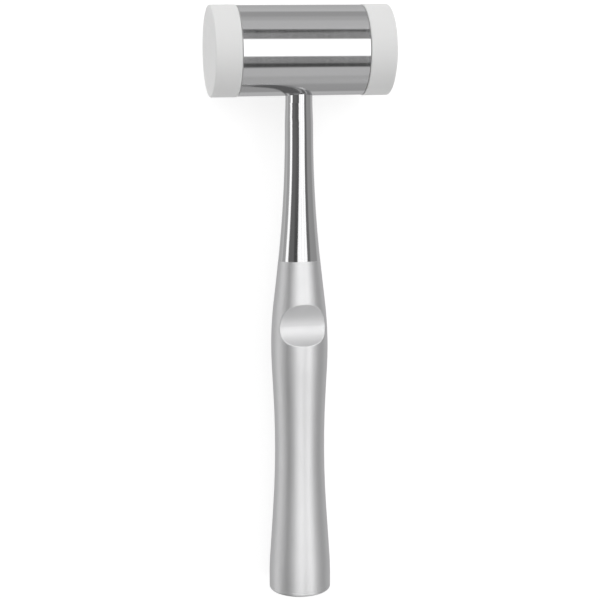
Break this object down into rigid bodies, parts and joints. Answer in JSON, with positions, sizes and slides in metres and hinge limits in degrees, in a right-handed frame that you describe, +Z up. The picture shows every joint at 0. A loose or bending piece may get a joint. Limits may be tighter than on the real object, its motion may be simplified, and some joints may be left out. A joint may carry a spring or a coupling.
{
  "type": "surgical mallet",
  "caption": "Steel mallet head with screwed plastic striking faces at both ends, on a slim polished neck and a hollow satin grip with a thumb rest.",
  "frame": {"origin": "on the resting surface, under the middle of the whole mallet's box", "axes": "+Z up, out of the thumb rest; +X along the head, towards the right striking face; +Y along the mallet, towards the head's end"},
  "size_m": [0.0598, 0.2018, 0.03],
  "materials": {
    "polished_steel": "polished",
    "satin_steel": "satin",
    "ptfe": "satin"
  },
  "bodies": {
    "root": {"head_barrel": "polished_steel", "striking_face_left": "ptfe", "striking_face_right": "ptfe", "handle_shell": "satin_steel", "neck_stud": "polished_steel", "end_cap": "satin_steel"}
  },
  "joints": []
}
